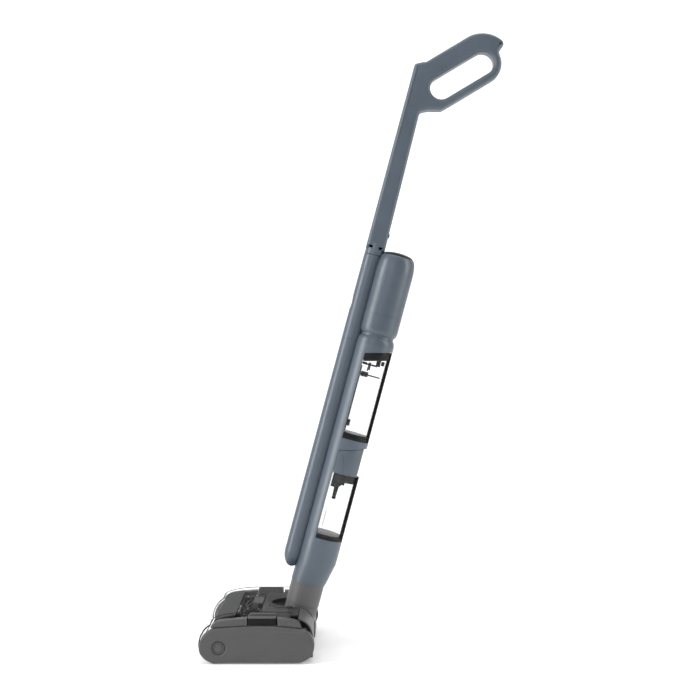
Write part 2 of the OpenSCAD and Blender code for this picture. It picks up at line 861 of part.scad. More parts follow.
module dirty_tank_lid() {
    color(dark) on_body() difference() {
        intersection() {
            translate([0, 0, divider_u]) cylinder(r = tank_r, h = dirty_h + 20);
            rear_of(tank_front + slide_gap);
            box([-60, -60, 0], [60, frame_r - rail_t, 1200]);
            above_level(dirty_top_u - lid_t - slide_gap);
        }
        above_level(dirty_top_u - slide_gap);
        translate([0, 6, dirty_top_u - 60]) cylinder(r = 12, h = 100);
    }
}

module dirty_tank_base() {
    color(dark) on_body() intersection() {
        translate([0, 0, divider_u + slide_gap]) cylinder(r = tank_r, h = dirty_base_t
            - slide_gap);
        rear_of(tank_front + slide_gap);
        box([-60, -60, 0], [60, frame_r - rail_t, 1200]);
    }
}

module dirty_tank_rail() {
    color(dark) on_body() difference() {
        intersection() {
            translate([0, 0, divider_u + slide_gap]) cylinder(r = tank_r, h = dirty_h + 20);
            rear_of(frame_r - rail_t);
        }
        above_level(dirty_top_u - slide_gap);
    }
}

module riser_pipe() {
    color(clear, 0.5) on_body() translate([0, tank_front + 7.2, divider_u + dirty_base_t])
        difference() {
            cylinder(r = 4.6, h = dirty_h - 36);
            translate([0, 0, -1]) cylinder(r = 3.4, h = dirty_h);
        }
}

module float_block() {
    color(dark) on_body() difference() {
        translate([0, tank_front + 7.2, dirty_top_u - 45]) cylinder(r = 9, h = 9);
        translate([0, tank_front + 7.2, dirty_top_u - 50]) cylinder(r = 4.6 + 0.35, h = 20);
        box([-20, -40, 0], [20, tank_front + 3, 1200]);
    }
}

// --- Clean water tank ---
// Plan of the clean tank, drawn in by inset
module clean_plan(inset) {
    intersection() {
        circle(r = tank_r - inset);
        translate([-60, tank_front + slide_gap + inset])
            square([120, frame_r - 4 - tank_front - slide_gap - 2 * inset]);
    }
}

module clean_tank_shell() {
    color(clear, 0.3) on_body() difference() {
        translate([0, 0, clean_u + clean_base_t]) linear_extrude(clean_h - clean_base_t)
            clean_plan(0);
        translate([0, 0, clean_u - 1]) linear_extrude(clean_h + 2) clean_plan(1.8);
    }
}

module clean_tank_base() {
    color(dark) on_body() translate([0, 0, clean_u + slide_gap])
        linear_extrude(clean_base_t - slide_gap) clean_plan(0);
}

module clean_tank_plug() {
    color(dark) on_body() difference() {
        union() {
            translate([0, 0, clean_top_u - 13.5]) linear_extrude(13.5) clean_plan(2);
            box([-9, tank_front + 2.4, clean_top_u - 27], [9, tank_front + 8.4, clean_top_u - 13]);
        }
        translate([0, 0, clean_top_u - 15]) cylinder(r = pickup_r + 0.05, h = 20);
        translate([0, 10, clean_top_u - 15]) cylinder(r = 3, h = 20);
    }
}

module pickup_pipe() {
    color("#55585c") on_body() translate([0, 0, clean_top_u - 46]) difference() {
        union() {
            cylinder(r1 = 3.2, r2 = pickup_r, h = 32.5);
            translate([0, 0, 32.5]) cylinder(r = pickup_r, h = 13);
        }
        translate([0, 0, -1]) cylinder(r = 2, h = 60);
    }
}

module clean_tank_cap() {
    color(blue) on_body() difference() {
        intersection() {
            translate([0, 0, clean_top_u]) cylinder(r = tank_r, h = 80);
            rear_of(tank_front + slide_gap);
        }
        above_level(cap_split_u - slide_gap);
        for (s = [-1, 1]) translate([s * (frame_r + 3), 14, clean_top_u + 15]) rod_x(12, -9, 9);
        difference() {
            intersection() {
                translate([0, 0, clean_top_u + wall]) cylinder(r = tank_r - wall, h = 80);
                rear_of(tank_front + slide_gap + wall);
            }
            above_level(cap_split_u - slide_gap - wall);
            for (s = [-1, 1]) translate([s * (frame_r + 3), 14, clean_top_u + 15])
                rod_x(12 + wall, -9 - wall, 9 + wall);
        }
    }
}

module clean_tank_rail() {
    color(dark) on_body() intersection() {
        translate([0, 0, clean_u + slide_gap]) cylinder(r = tank_r, h = clean_h - slide_gap);
        rear_of(frame_r - 4);
    }
}

chassis();
side_cover(1);  // side_cover_left
side_cover(-1);  // side_cover_right
side_rail(1);  // side_rail_left
side_rail(-1);  // side_rail_right
roller_shroud();
top_deck();
neck_collar();
drive_block();
roller_motor();
drive_belt();
base_weight();
squeegee();
scraper();
spray_bar();
wheel_axles();
base_screws();
roller_core();
roller_sleeve();
roller_pulley();
motor_pulley();
rear_wheel(1);  // wheel_left
rear_wheel(-1);  // wheel_right
roller_release_button();
clear_cover();
cover_latch(1);  // cover_latch_left
cover_latch(-1);  // cover_latch_right
neck_knuckle();
neck_tube();
boot();
spine();
tank_divider();
shoulder();
lower_tube();
battery_cells();
can_shell();
can_cap();
suction_motor();
control_board();
water_pump();
dirty_pipe();
impeller();
pole_upper();
handle_loop();
display_panel();
panel_button(8);  // power_button
panel_button(34);  // mode_button
pole_release_button();
dirty_tank_shell();
dirty_tank_lid();
dirty_tank_base();
dirty_tank_rail();
riser_pipe();
float_block();
clean_tank_shell();
clean_tank_cap();
clean_tank_plug();
pickup_pipe();
clean_tank_base();
clean_tank_rail();
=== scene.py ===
import json
import math

import bmesh
import bpy
import mathutils
from mathutils import Matrix, Vector


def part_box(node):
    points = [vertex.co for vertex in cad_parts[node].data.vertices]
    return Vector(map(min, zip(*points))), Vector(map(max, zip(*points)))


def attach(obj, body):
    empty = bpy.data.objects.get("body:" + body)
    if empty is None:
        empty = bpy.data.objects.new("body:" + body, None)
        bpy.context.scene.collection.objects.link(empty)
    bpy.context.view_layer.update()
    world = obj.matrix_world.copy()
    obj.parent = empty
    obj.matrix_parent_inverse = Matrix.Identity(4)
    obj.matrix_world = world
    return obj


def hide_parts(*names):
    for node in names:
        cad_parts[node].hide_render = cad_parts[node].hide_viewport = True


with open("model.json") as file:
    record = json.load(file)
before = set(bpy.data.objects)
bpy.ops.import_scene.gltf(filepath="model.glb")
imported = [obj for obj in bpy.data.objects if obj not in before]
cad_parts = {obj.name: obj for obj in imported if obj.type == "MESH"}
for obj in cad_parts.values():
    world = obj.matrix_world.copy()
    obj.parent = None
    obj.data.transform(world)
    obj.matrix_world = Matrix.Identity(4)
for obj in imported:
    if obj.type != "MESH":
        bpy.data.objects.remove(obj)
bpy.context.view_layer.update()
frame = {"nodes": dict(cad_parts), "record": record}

MM = 0.001

# --- The object's own directions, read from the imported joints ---
JOINTS = {j["name"]: j for j in frame["record"]["behaviour"]["joints"]}
PIVOT = Vector(JOINTS["neck_pitch"]["pos_m"])
UP = Vector(JOINTS["neck_steer"]["axis"]).normalized()
BACK = Vector((0, UP.z, -UP.y))
ROLLER = Vector(JOINTS["roller_spin"]["pos_m"])
NECK_V = (Vector(JOINTS["fan_spin"]["pos_m"]) - PIVOT).dot(BACK) - 3.5 * MM


def stem(x, v, u):
    """A point x, v, u in millimetres: sideways, behind the body axis, and up along it."""
    return PIVOT + Vector((x * MM, 0, 0)) + BACK * (v * MM + NECK_V) + UP * (u * MM)


def stem_matrix():
    """Carries a mesh made in metres in the body's own axes to its place."""
    m = Matrix.Identity(4)
    for row in range(3):
        m[row][0] = (1, 0, 0)[row]
        m[row][1] = BACK[row]
        m[row][2] = UP[row]
        m[row][3] = (PIVOT + BACK * NECK_V)[row]
    return m


# --- Node material helpers ---
def new_material(name):
    """An empty material with one shader, as (material, node tree, shader)."""
    mat = bpy.data.materials.new(name)
    mat.use_nodes = True
    tree = mat.node_tree
    tree.nodes.clear()
    out = tree.nodes.new("ShaderNodeOutputMaterial")
    shader = tree.nodes.new("ShaderNodeBsdfPrincipled")
    tree.links.new(shader.outputs[0], out.inputs[0])
    return mat, tree, shader


def noise(tree, scale, detail=4.0, coords=None, rough=0.55):
    """A noise value over object coordinates, or over coords."""
    node = tree.nodes.new("ShaderNodeTexNoise")
    node.inputs["Scale"].default_value = scale
    node.inputs["Detail"].default_value = detail
    node.inputs["Roughness"].default_value = rough
    if coords is None:
        coords = tree.nodes.new("ShaderNodeTexCoord").outputs["Object"]
    tree.links.new(coords, node.inputs["Vector"])
    return node.outputs["Fac"]


def spread(tree, value, low, high, start=0.3, end=0.7):
    """Maps a noise value onto low to high."""
    node = tree.nodes.new("ShaderNodeMapRange")
    node.inputs["From Min"].default_value = start
    node.inputs["From Max"].default_value = end
    node.inputs["To Min"].default_value = low
    node.inputs["To Max"].default_value = high
    tree.links.new(value, node.inputs["Value"])
    return node.outputs["Result"]


def mix(tree, fac, a, b):
    """A colour between a and b; each may be a colour or a socket."""
    node = tree.nodes.new("ShaderNodeMix")
    node.data_type = "RGBA"
    if isinstance(fac, float):
        node.inputs[0].default_value = fac
    else:
        tree.links.new(fac, node.inputs[0])
    for socket, value in ((node.inputs[6], a), (node.inputs[7], b)):
        if hasattr(value, "is_linked"):
            tree.links.new(value, socket)
        else:
            socket.default_value = (*value, 1)
    return node.outputs[2]


def bump(tree, shader, height, distance, strength=1.0, edge=0.0007):
    """Surface relief over a shading normal that rounds every edge by edge metres."""
    node = tree.nodes.new("ShaderNodeBump")
    if edge:
        soft = tree.nodes.new("ShaderNodeBevel")
        soft.samples = 4
        soft.inputs["Radius"].default_value = edge
        tree.links.new(soft.outputs[0], node.inputs["Normal"])
    node.inputs["Distance"].default_value = distance
    node.inputs["Strength"].default_value = strength
    tree.links.new(height, node.inputs["Height"])
    tree.links.new(node.outputs[0], shader.inputs["Normal"])


def add(tree, a, b, factor=1.0):
    """The value a plus factor times b."""
    node = tree.nodes.new("ShaderNodeMath")
    node.operation = "MULTIPLY_ADD"
    tree.links.new(b, node.inputs[0])
    node.inputs[1].default_value = factor
    tree.links.new(a, node.inputs[2])
    return node.outputs[0]


def edge_wear(tree):
    """A mask that is bright along rounded outer edges."""
    geo = tree.nodes.new("ShaderNodeNewGeometry")
    return spread(tree, geo.outputs["Pointiness"], 0.0, 1.0, 0.515, 0.56)


def plastic(name, colour, rough=0.4, grain=1800.0, depth=0.00003, coat=0.0, wear=0.25,
            spec=0.5):
    """Moulded plastic: fine spark-eroded grain, faint cloudiness and slightly polished edges."""
    mat, tree, shader = new_material(name)
    cloud = noise(tree, 18.0, 3.0)
    dark = tuple(c * 0.93 for c in colour)
    light = tuple(min(1.0, c * 1.06) for c in colour)
    tint = mix(tree, spread(tree, cloud, 0.0, 1.0), dark, light)
    worn = tuple(min(1.0, c * 1.35 + 0.01) for c in colour)
    mask = edge_wear(tree)
    scaled = tree.nodes.new("ShaderNodeMath")
    scaled.operation = "MULTIPLY"
    scaled.inputs[1].default_value = wear
    tree.links.new(mask, scaled.inputs[0])
    tree.links.new(mix(tree, scaled.outputs[0], tint, worn), shader.inputs["Base Color"])
    smear = noise(tree, 55.0, 5.0)
    tree.links.new(spread(tree, smear, rough - 0.04, rough + 0.05), shader.inputs["Roughness"])
    fine = noise(tree, grain, 2.0)
    coarse = noise(tree, grain * 0.4, 2.0)
    bump(tree, shader, add(tree, fine, coarse, 0.6), depth, 0.5)
    shader.inputs["Specular IOR Level"].default_value = spec
    shader.inputs["Coat Weight"].default_value = coat
    shader.inputs["Coat Roughness"].default_value = 0.25
    return mat


def clear_plastic(name, face_alpha, edge_alpha, tint, edge_painted_shade, turn=0.8, gloss=0.3):
    """Clear moulded plastic that darkens where it is seen edge on: the dark colour there is painted shade
    for the dark rims of clear plastic.
    """
    mat, tree, shader = new_material(name)
    weight = tree.nodes.new("ShaderNodeLayerWeight")
    weight.inputs["Blend"].default_value = 0.5
    facing = weight.outputs["Facing"]
    # Painted shade: the colour turns from tint to a dark tone where the surface is seen edge on.
    tree.links.new(mix(tree, facing, tint, edge_painted_shade), shader.inputs["Base Color"])
    tree.links.new(spread(tree, facing, face_alpha, edge_alpha, turn, 1.0), shader.inputs["Alpha"])
    streak = noise(tree, 90.0, 4.0)
    tree.links.new(spread(tree, streak, 0.04, 0.09), shader.inputs["Roughness"])
    bump(tree, shader, noise(tree, 35.0, 2.0), 0.0004, 0.12, edge=0)
    shader.inputs["IOR"].default_value = 1.25
    shader.inputs["Coat Weight"].default_value = gloss
    shader.inputs["Coat Roughness"].default_value = 0.05
    return mat


def metal(name, colour, rough, stretch=(1, 1, 60)):
    """Machined metal with fine turning or brushing marks."""
    mat, tree, shader = new_material(name)
    coords = tree.nodes.new("ShaderNodeTexCoord")
    mapping = tree.nodes.new("ShaderNodeMapping")
    mapping.inputs["Scale"].default_value = stretch
    tree.links.new(coords.outputs["Object"], mapping.inputs["Vector"])
    lines = noise(tree, 120.0, 6.0, mapping.outputs[0])
    shader.inputs["Metallic"].default_value = 1.0
    shade = tuple(c * 0.82 for c in colour)
    tree.links.new(mix(tree, spread(tree, lines, 0.0, 1.0), shade, colour),
                   shader.inputs["Base Color"])
    tree.links.new(spread(tree, lines, rough - 0.07, rough + 0.1), shader.inputs["Roughness"])
    bump(tree, shader, lines, 0.00004, 0.4)
    return mat


def rubber(name, colour):
    """Dull rubber with a little dust."""
    mat, tree, shader = new_material(name)
    dust = noise(tree, 140.0, 5.0)
    tree.links.new(mix(tree, spread(tree, dust, 0.0, 0.5), colour, (0.07, 0.07, 0.072)),
                   shader.inputs["Base Color"])
    tree.links.new(spread(tree, dust, 0.62, 0.8), shader.inputs["Roughness"])
    bump(tree, shader, noise(tree, 900.0, 2.0), 0.00006, 0.6)
    return mat


def pile(name):
    """Short grey microfibre pile in soft stripes round the roller."""
    mat, tree, shader = new_material(name)
    coords = tree.nodes.new("ShaderNodeTexCoord").outputs["Object"]
    wave = tree.nodes.new("ShaderNodeTexWave")
    wave.inputs["Scale"].default_value = 26.0
    wave.inputs["Distortion"].default_value = 1.5
    wave.inputs["Detail"].default_value = 2.0
    tree.links.new(coords, wave.inputs["Vector"])
    tufts = noise(tree, 700.0, 6.0, coords, 0.7)
    base = mix(tree, wave.outputs["Fac"], (0.15, 0.155, 0.165), (0.27, 0.275, 0.285))
    tree.links.new(mix(tree, spread(tree, tufts, 0.0, 0.6), base, (0.06, 0.062, 0.067)),
                   shader.inputs["Base Color"])
    shader.inputs["Roughness"].default_value = 0.95
    shader.inputs["Sheen Weight"].default_value = 0.5
    shader.inputs["Sheen Roughness"].default_value = 0.4
    bump(tree, shader, tufts, 0.0012, 0.9)
    return mat


BLUE = (0.072, 0.093, 0.118)
M = {
    "blue": plastic("blue_plastic", BLUE, 0.38, coat=0.1),
    # Painted shade: dark blue for the parting lines and grooves, standing for the shade in them; the bay
    # wires use it as their own dark colour.
    "shade": plastic("painted_groove_shade_and_wires", (0.02, 0.026, 0.034), 0.5),
    "head": plastic("head_plastic", (0.078, 0.078, 0.079), 0.46, spec=0.35, wear=0.5),
    "neck": plastic("neck_plastic", (0.105, 0.105, 0.106), 0.42, spec=0.3),
    "block": plastic("block_plastic", (0.13, 0.13, 0.13), 0.5, spec=0.2),
    "black": plastic("black_plastic", (0.009, 0.0095, 0.0105), 0.34, depth=0.00002, spec=0.18),
    "gloss": plastic("window_plastic", (0.004, 0.004, 0.0045), 0.16, depth=0.000005, coat=0.15, spec=0.2),
    "rail": plastic("rail_plastic", (0.004, 0.004, 0.0045), 0.7, depth=0.00002, spec=0.02),
    "inner": plastic("inner_plastic", (0.042, 0.042, 0.043), 0.72, spec=0.08, wear=0.5),
    "casing": plastic("casing_plastic", (0.075, 0.075, 0.076), 0.7, spec=0.08, wear=0.5),
    "bay": plastic("bay_plastic", (0.006, 0.006, 0.0065), 0.6, spec=0.06, wear=1.0),
    "button": plastic("button_plastic", (0.11, 0.112, 0.115), 0.45),
    "board": plastic("board_lacquer", (0.015, 0.12, 0.06), 0.3),
    "cell": plastic("cell_wrap", (0.05, 0.16, 0.36), 0.25),
    "steel": metal("steel", (0.62, 0.62, 0.63), 0.28),
    "plate": metal("ballast_steel", (0.3, 0.3, 0.31), 0.42, (1, 30, 1)),
    "alloy": metal("alloy", (0.7, 0.71, 0.73), 0.32),
    "rubber": rubber("rubber", (0.018, 0.018, 0.019)),
    "pile": pile("roller_pile"),
    "tank": clear_plastic("tank_clear", 0.02, 0.5, (0.8, 0.83, 0.86), (0.05, 0.055, 0.06)),
    "cover": clear_plastic("cover_clear", 0.035, 0.7, (0.25, 0.26, 0.27), (0.02, 0.021, 0.023), 0.9, 0.05),
    "glyph": plastic("glyph_paint", (0.55, 0.56, 0.57), 0.4),
    # Painted highlight: pale clear bars across the top cover that stand for glints on it.
    "glint": clear_plastic("painted_glint_bars", 0.4, 0.8, (0.4, 0.42, 0.44), (0.1, 0.1, 0.11)),
}

SLOT_MATERIAL = {
    "head_grey": "head", "block_grey": "block", "motor_metal": "alloy", "rubber_black": "rubber",
    "steel_plate": "plate", "steel": "steel", "black_plastic": "black", "pile": "pile",
    "clear": "tank", "neck_grey": "neck", "body_blue": "blue", "cell": "cell",
    "board": "board", "button_grey": "button",
}
NODE_MATERIAL = {
    "clear_cover": "cover", "dirty_tank_rail": "rail", "clean_tank_rail": "rail",
    "roller_shroud": "inner", "top_deck": "inner", "neck_collar": "inner",
    "drive_block": "casing", "display_panel": "gloss", "neck_knuckle": "neck",
}


def dress_nodes():
    """Gives every carried-over CAD node its material and smooth faces parted at its edges."""
    slots = {s["node"]: s["material_slot"] for s in frame["record"]["subparts"]}
    for node, slot in slots.items():
        obj = frame["nodes"][node]
        mat = M[NODE_MATERIAL.get(node, SLOT_MATERIAL[slot])]
        obj.data.materials.clear()
        obj.data.materials.append(mat)
        for poly in obj.data.polygons:
            poly.use_smooth = True
            poly.material_index = 0
        split = obj.modifiers.new("edges", "EDGE_SPLIT")
        split.split_angle = math.radians(32)
        split.use_edge_sharp = False


dress_nodes()


# --- Mesh helpers ---
def link(name, mesh, material, body, *nodes):
    """Puts a mesh in the scene as a piece that rides on body and stands for nodes."""
    obj = bpy.data.objects.new(name, mesh)
    bpy.context.scene.collection.objects.link(obj)
    mesh.materials.clear()
    mesh.materials.append(M[material])
    for poly in mesh.polygons:
        poly.use_smooth = True
    mesh.set_sharp_from_angle(angle=math.radians(38))
    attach(obj, body)
    if nodes:
        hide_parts(*nodes)
    return obj


def rounded_loop(corners, steps=10):
    """A closed outline through corners (x, y, radius), each rounded by its own radius."""
    loop = []
    count = len(corners)
    for i, (x, y, r) in enumerate(corners):
        here = Vector((x, y))
        before = (Vector(corners[i - 1][:2]) - here)
        after = (Vector(corners[(i + 1) % count][:2]) - here)
        if r <= 0 or before.length < 1e-9 or after.length < 1e-9:
            loop.append(here)
            continue
        half = before.angle(after) / 2
        cut = min(r / math.tan(half), before.length * 0.49, after.length * 0.49)
        start = here + before.normalized() * cut
        end = here + after.normalized() * cut
        for k in range(steps + 1):
            t = k / steps
            loop.append(start * (1 - t) ** 2 + here * 2 * t * (1 - t) + end * t * t)
    return loop


def arc_points(centre, radius, a0, a1, steps=24):
    """Points on a round arc from a0 to a1 degrees."""
    pts = []
    for i in range(steps + 1):
        a = math.radians(a0 + (a1 - a0) * i / steps)
        pts.append(Vector(centre) + radius * Vector((math.cos(a), math.sin(a))))
    return pts


def plate(name, loops, thickness, edge, matrix, steps=6):
    """A plate in metres with rolled edges: outlines in its plane, thickness square to it."""
    curve = bpy.data.curves.new(name, "CURVE")
    curve.dimensions = "2D"
    curve.fill_mode = "BOTH"
    curve.extrude = thickness / 2 - edge
    curve.bevel_depth = edge
    curve.bevel_resolution = steps
    curve.offset = -edge
    for loop in loops:
        spline = curve.splines.new("POLY")
        spline.points.add(len(loop) - 1)
        for point, place in zip(spline.points, loop):
            point.co = (place.x, place.y, 0, 1)
        spline.use_cyclic_u = True
    holder = bpy.data.objects.new(name + "_curve", curve)
    bpy.context.scene.collection.objects.link(holder)
    bpy.context.view_layer.update()
    mesh = bpy.data.meshes.new_from_object(holder.evaluated_get(
        bpy.context.evaluated_depsgraph_get()))
    bpy.data.objects.remove(holder)
    mesh.name = name
    bm = bmesh.new()
    bm.from_mesh(mesh)
    bmesh.ops.remove_doubles(bm, verts=bm.verts, dist=2e-6)
    bmesh.ops.recalc_face_normals(bm, faces=bm.faces)
    bm.to_mesh(mesh)
    bm.free()
    mesh.transform(matrix)
    return mesh


def axes_matrix(origin, first, second):
    """Carries the plane's two axes to first and second, and its normal to their product."""
    third = first.cross(second)
    m = Matrix.Identity(4)
    for row in range(3):
        m[row][0], m[row][1], m[row][2], m[row][3] = first[row], second[row], third[row], origin[row]
    return m


def revolve(name, profile, matrix, segments=48):
    """A surface of revolution about the matrix's third axis; profile holds (radius, height)."""
    bm = bmesh.new()
    rings = []
    for r, h in profile:
        if r < 1e-7:
            rings.append([bm.verts.new((0, 0, h))])
        else:
            rings.append([bm.verts.new((r * math.cos(2 * math.pi * k / segments),
                                        r * math.sin(2 * math.pi * k / segments), h))
                          for k in range(segments)])
    for a, b in zip(rings, rings[1:]):
        for k in range(segments):
            n = (k + 1) % segments
            if len(a) == 1 and len(b) == 1:
                continue
            if len(a) == 1:
                bm.faces.new((a[0], b[k], b[n]))
            elif len(b) == 1:
                bm.faces.new((a[k], b[0], a[n]))
            else:
                bm.faces.new((a[k], b[k], b[n], a[n]))
    bmesh.ops.recalc_face_normals(bm, faces=bm.faces)
    mesh = bpy.data.meshes.new(name)
    bm.to_mesh(mesh)
    bm.free()
    mesh.transform(matrix)
    return mesh


def sweep(name, path, radius, sides=12, closed=False):
    """A round bar of one radius along a path of points in metres, with capped ends."""
    bm = bmesh.new()
    rings = []
    count = len(path)
    normal = None
    for i, place in enumerate(path):
        ahead = path[(i + 1) % count] if (closed or i + 1 < count) else place
        behind = path[i - 1] if (closed or i > 0) else place
        tangent = (ahead - behind).normalized()
        if normal is None:
            normal = tangent.orthogonal().normalized()
        normal = (normal - tangent * normal.dot(tangent)).normalized()
        side = tangent.cross(normal)
        rings.append([bm.verts.new(place + radius * (normal * math.cos(2 * math.pi * k / sides)
                                                     + side * math.sin(2 * math.pi * k / sides)))
                      for k in range(sides)])
    pairs = list(zip(rings, rings[1:]))
    if closed:
        pairs.append((rings[-1], rings[0]))
    for a, b in pairs:
        for k in range(sides):
            n = (k + 1) % sides
            bm.faces.new((a[k], a[n], b[n], b[k]))
    if not closed:
        bm.faces.new(rings[0][::-1])
        bm.faces.new(rings[-1])
    bmesh.ops.recalc_face_normals(bm, faces=bm.faces)
    mesh = bpy.data.meshes.new(name)
    bm.to_mesh(mesh)
    bm.free()
    return mesh


def join_meshes(name, meshes):
    """One mesh out of several, which are used up."""
    bm = bmesh.new()
    for mesh in meshes:
        bm.from_mesh(mesh)
        bpy.data.meshes.remove(mesh)
    out = bpy.data.meshes.new(name)
    bm.to_mesh(out)
    bm.free()
    return out


def block(name, low, high, edge, steps=3, matrix=None):
    """A moulded block between two corners with rounded edges."""
    bm = bmesh.new()
    bmesh.ops.create_cube(bm, size=1)
    low, high = Vector(low), Vector(high)
    for v in bm.verts:
        for axis in range(3):
            v.co[axis] = (low[axis] + high[axis]) / 2 + v.co[axis] * (high[axis] - low[axis])
    bmesh.ops.bevel(bm, geom=bm.edges[:], offset=edge, segments=steps, affect="EDGES", profile=0.5)
    bmesh.ops.recalc_face_normals(bm, faces=bm.faces)
    mesh = bpy.data.meshes.new(name)
    bm.to_mesh(mesh)
    bm.free()
    if matrix is not None:
        mesh.transform(matrix)
    return mesh


def head_point(x, y, z):
    """A head place in millimetres, with y counted from the pivot and z from the floor."""
    return Vector((x * MM, PIVOT.y + y * MM, z * MM))


def side_matrix(x):
    """Carries a (y, z) outline in metres, y from the pivot, to the upright plane at x metres."""
    return axes_matrix(Vector((x, PIVOT.y, 0)), Vector((0, 1, 0)), Vector((0, 0, 1)))


def mm(loop):
    """An outline in millimetres as one in metres."""
    return [Vector(p[:2]) * MM for p in loop]


# --- Handle and upper pole, one moulding with the grip slot through it ---
STEM = stem_matrix()
BODY_PLANE = axes_matrix(PIVOT + BACK * NECK_V, BACK, UP)


def flat(place):
    """A world point as (v, u) in millimetres in the body's middle plane."""
    d = place - PIVOT
    return Vector(((d.dot(BACK) - NECK_V) / MM, d.dot(UP) / MM))


def middle(low, high):
    """The point halfway between two corners."""
    return (Vector(low) + Vector(high)) / 2


HOLES = [middle(*o["box_m"]) for o in frame["record"]["physics"]["openings"]
         if o["name"].startswith("grip_slot")]
GRIP_LOW, GRIP_HIGH = flat(HOLES[0]), flat(HOLES[-1])
ALONG = (GRIP_HIGH - GRIP_LOW).normalized()
ACROSS = Vector((-ALONG.y, ALONG.x))
GRIP_RUN = (GRIP_HIGH - GRIP_LOW).length / 0.8
NEAR = GRIP_LOW - ALONG * GRIP_RUN * 0.1
FAR = GRIP_HIGH + ALONG * GRIP_RUN * 0.1
SLOT_R, LOWER_R, CROWN_R = 20.2, 34.4, 54.2
POLE_LOW_U = 677.0
POLE_FRONT = -60.5
TUBE_V = -43.5
POWER_KEY, MODE_KEY = 8, 34
KEY_R, PANEL_EDGE = 6.35, 9.0


def grip(a, b):
    """A point a along the slot from its far end and b square to it, in (v, u)."""
    return FAR + ALONG * a + ACROSS * b


def corner(place, radius):
    """A corner for rounded_loop."""
    return (place.x, place.y, radius)


def grip_arc(radius, a0, a1, steps=24):
    """An arc about the far end of the slot, in (v, u)."""
    return [grip(p.x, p.y) for p in arc_points((0, 0), radius, a0, a1, steps)]


def pole_handle():
    """Pole and grip loop as one moulding, with the foot that slides in the tube."""
    run = GRIP_RUN
    points = [(POLE_FRONT, POLE_LOW_U, 2), (POLE_FRONT, NEAR.y + 29.5, 5),
              (POLE_FRONT + 12.6, NEAR.y + 36.2, 10), corner(grip(-run, CROWN_R), 22)]
    points += [corner(p, 0) for p in grip_arc(CROWN_R, 88, 16, 30)]
    points += [corner(grip(50.2, 9.6), 2.2), corner(grip(36.4, 3.4), 7)]
    points += [corner(p, 0) for p in grip_arc(LOWER_R, -8, -88)]
    points += [corner(grip(-run, -LOWER_R), 30), (NEAR.x + 10, NEAR.y - 38.5, 12),
               (-14.6, NEAR.y - 43.6, 14), (-30.1, NEAR.y - 50.5, 9), (-26.0, POLE_LOW_U, 2)]
    outer = rounded_loop(points)
    tilt = math.degrees(math.atan2(ALONG.y, ALONG.x))
    hole = (arc_points(FAR, SLOT_R, tilt - 90, tilt + 90)
            + arc_points(NEAR, SLOT_R, tilt + 90, tilt + 270))
    parts = [plate("pole_handle", [mm(outer), mm(hole)], 0.0316, 0.0066, BODY_PLANE, 8)]
    axis = place_on_axis(TUBE_V, POLE_LOW_U - 58.6)
    parts.append(revolve("pole_foot", [(0.0, 0.0), (0.0136, 0.0), (0.0148, 0.0016), (0.0148, 0.0496),
                                       (0.0163, 0.0498), (0.0168, 0.0504), (0.0168, 0.0680),
                                       (0.0150, 0.0740), (0.0, 0.0760)], axis, 56))
    rim = [BODY_PLANE @ Vector((p.x, p.y, 0)) for p in mm(outer)]
    # Painted shade: a dark line along the handle's parting seam.
    seam = sweep("handle_seam", rim[1:], 0.00028, 6)
    link("handle_seam", seam, "shade", "upper_pole")
    link("pole_handle", join_meshes("pole_handle", parts), "blue", "upper_pole",
         "handle_loop", "pole_upper")


BODIES = frame["record"]["behaviour"]["bodies"]


def body_of(node):
    """The name of the body that a CAD node belongs to."""
    return next(name for name, nodes in BODIES.items() if node in nodes)


def place_on_axis(v, u, x=0.0):
    """A frame at (x, v, u) whose third axis runs up the body."""
    m = stem_matrix()
    m.translation = stem(x, v, u)
    return m


def bar_panel():
    """Dark inset with its two keys along the top of the grip bar."""
    along = BACK * ALONG.x + UP * ALONG.y
    out = BACK * ACROSS.x + UP * ACROSS.y
    base = PIVOT + BACK * (NECK_V + NEAR.x * MM) + UP * (NEAR.y * MM)
    matrix = axes_matrix(base + out * 0.0524, Vector((1, 0, 0)), along)
    shape = rounded_loop([(-PANEL_EDGE, -9.6, 4), (PANEL_EDGE, -9.6, 4),
                          (PANEL_EDGE, 61.6, 4), (-PANEL_EDGE, 61.6, 4)])
    holes = [arc_points((0, y), KEY_R, 0, 360, 40)[:-1] for y in (POWER_KEY, MODE_KEY)]
    mesh = plate("bar_inset", [mm(shape)] + [mm(h) for h in holes], 0.0030, 0.0006, matrix, 3)
    link("bar_inset", mesh, "gloss", "upper_pole", "display_panel")
    for name, node, y in (("power_cap", "power_button", POWER_KEY),
                          ("mode_cap", "mode_button", MODE_KEY)):
        seat = axes_matrix(base + out * 0.0514 + along * (y * MM), Vector((1, 0, 0)), along)
        cap = revolve(name, [(0, 0), (0.0058, 0), (0.006, 0.0003), (0.006, 0.0018),
                             (0.0055, 0.0025), (0.0044, 0.0027), (0.0038, 0.0024),
                             (0, 0.0021)], seat, 40)
        link(name, cap, "button", body_of(node), node)
        mark_seat = axes_matrix(base + out * 0.0536 + along * (y * MM), Vector((1, 0, 0)), along)
        if node == "power_button":
            mark = sweep(name + "_mark", [mark_seat @ (Vector((p.x, p.y, 0)) * MM)
                                          for p in arc_points((0, 0), 2.1, 120, 420, 20)], 0.00022, 6)
        else:
            mark = sweep(name + "_mark", [mark_seat @ Vector((x * MM, 0, 0)) for x in (-1.8, 0, 1.8)],
                         0.00025, 6)
        link(name + "_mark", mark, "glyph", body_of(node))


pole_handle()
bar_panel()


# --- Floor head ---
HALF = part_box("side_cover_left")[1].x
INNER = HALF - 0.014
ROLLER_Y, ROLLER_Z = (ROLLER.y - PIVOT.y) / MM, ROLLER.z / MM
COVER_H = 64.5
FRONT_R, FRONT_RISE = 34.1, 27.0
REAR_CENTRE = (3.8, 31.5)
COVER_ROLL = 0.0034


